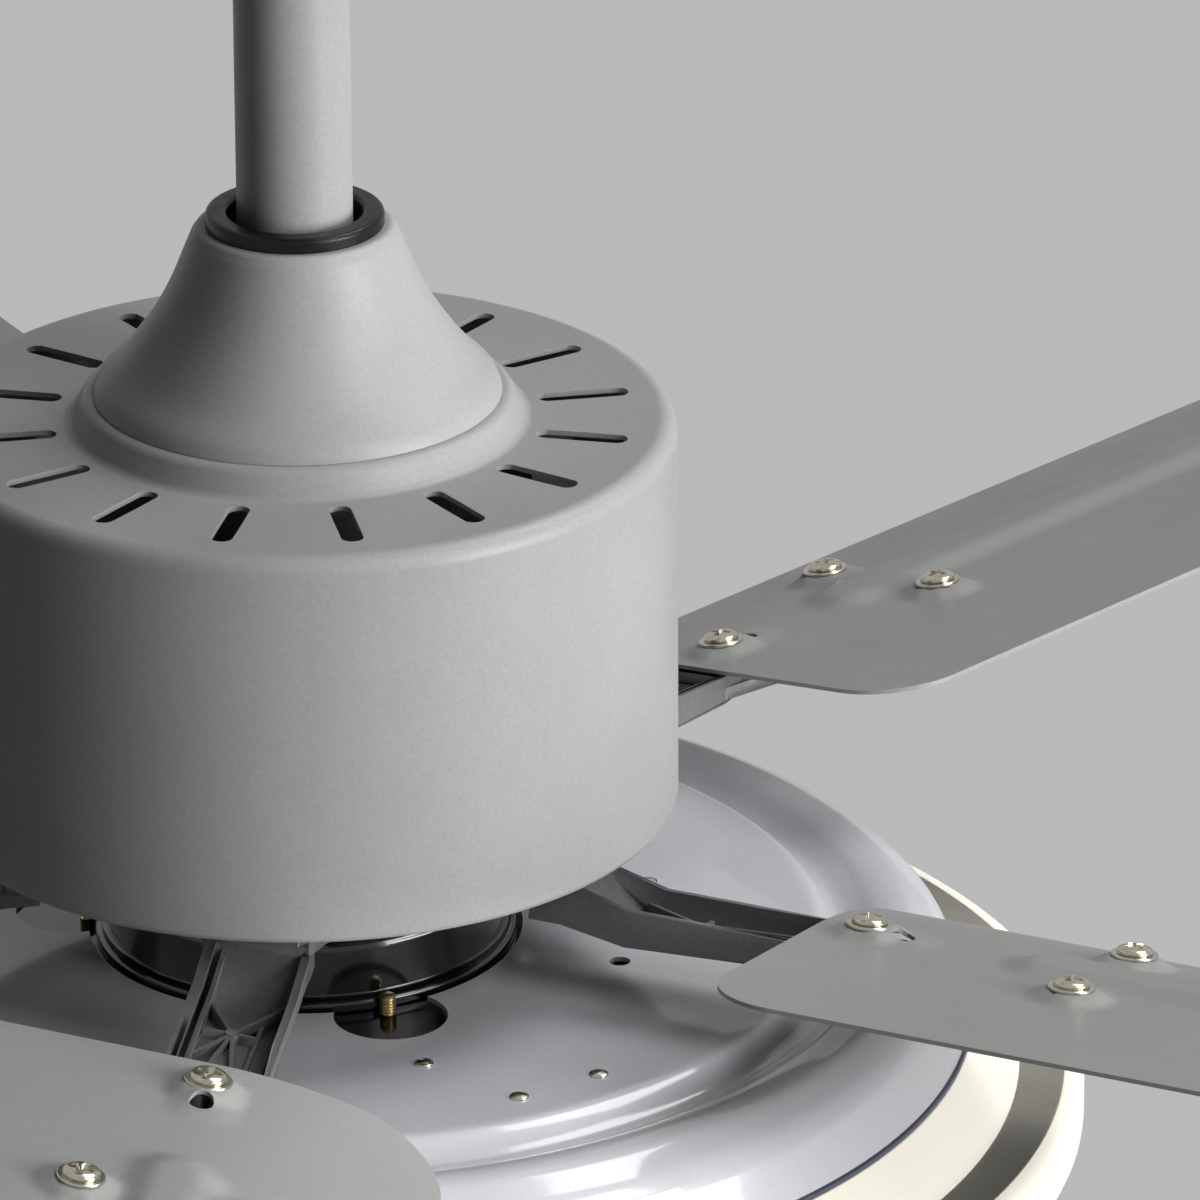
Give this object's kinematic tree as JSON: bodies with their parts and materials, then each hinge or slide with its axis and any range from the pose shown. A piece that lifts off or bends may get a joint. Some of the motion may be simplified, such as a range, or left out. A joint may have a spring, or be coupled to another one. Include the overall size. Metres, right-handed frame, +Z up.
{
  "type": "ceiling fan",
  "caption": "Pitched sheet-metal blades on cast irons turn under a slotted drum motor housing, hung by a downrod from a ball joint, over a round ring lamp.",
  "frame": {"origin": "centre of the bracket's ceiling face, on the fan axis", "axes": "+Z up along the fan axis at rest, +X along the ceiling bracket"},
  "size_m": [1.0158, 1.0201, 0.4627],
  "materials": {
    "grey_paint": "satin",
    "blade_paint": "satin",
    "iron_paint": "satin over sand-cast aluminium",
    "pan_paint": "gloss",
    "base_paint": "satin",
    "trim_paint": "satin",
    "black_gloss": "gloss",
    "black_rubber": "matte",
    "zinc_steel": "zinc plated",
    "nickel": "nickel plated",
    "brass": "plain",
    "ball_nylon": "matte",
    "cast_aluminium": "cast",
    "bearing_steel": "ground",
    "lamination_steel": "varnished",
    "copper_wire": "enamelled",
    "white_plastic": "matte",
    "led_yellow": "gloss",
    "acrylic": "opal, lit from inside"
  },
  "bodies": {
    "ceiling_mount": {"ceiling_bracket": "zinc_steel", "canopy": "grey_paint", "canopy_screws": "zinc_steel"},
    "hanging_unit": {"hanger_ball": "ball_nylon", "ball_cross_pin": "zinc_steel", "downrod": "grey_paint", "rod_seal_ring": "black_rubber", "yoke_cover": "grey_paint", "yoke": "zinc_steel", "clevis_pin": "zinc_steel", "clevis_clip": "zinc_steel", "clamp_ring": "zinc_steel", "yoke_screws": "zinc_steel", "motor_housing": "grey_paint", "motor_shaft": "zinc_steel", "shaft_circlip": "zinc_steel", "stator_core": "lamination_steel", "stator_windings": "copper_wire", "shaft_nuts": "brass", "switch_cup": "black_gloss", "run_capacitor": "white_plastic", "lamp_plate": "black_gloss", "cup_screws": "brass", "light_pan": "pan_paint", "pan_rivets": "nickel", "lamp_standoffs": "zinc_steel", "lamp_base": "base_paint", "led_driver": "white_plastic", "led_board": "white_plastic", "led_chips": "led_yellow", "upper_diffuser": "acrylic", "trim_ring": "trim_paint", "lower_diffuser": "acrylic"},
    "rotor": {"rotor_upper_bell": "cast_aluminium", "rotor_lower_bell": "cast_aluminium", "rotor_ring": "lamination_steel", "upper_bearing": "bearing_steel", "lower_bearing": "bearing_steel", "bell_screws": "zinc_steel", "blade_iron_1": "iron_paint", "blade_iron_2": "iron_paint", "blade_iron_3": "iron_paint", "blade_iron_4": "iron_paint", "blade_iron_5": "iron_paint", "iron_screws": "zinc_steel", "blade_1": "blade_paint", "blade_2": "blade_paint", "blade_3": "blade_paint", "blade_4": "blade_paint", "blade_5": "blade_paint", "blade_washers": "nickel", "blade_screws": "nickel"}
  },
  "joints": [
    {"name": "ball_swing", "type": "hinge", "parent": "ceiling_mount", "child": "hanging_unit", "pos_m": [0, 0, -0.034], "axis": [1, 0, 0], "range_deg": [-14, 14]},
    {"name": "rotor_spin", "type": "hinge", "parent": "hanging_unit", "child": "rotor", "pos_m": [0, 0, -0.34], "axis": [0, 0, 1], "continuous": true}
  ]
}
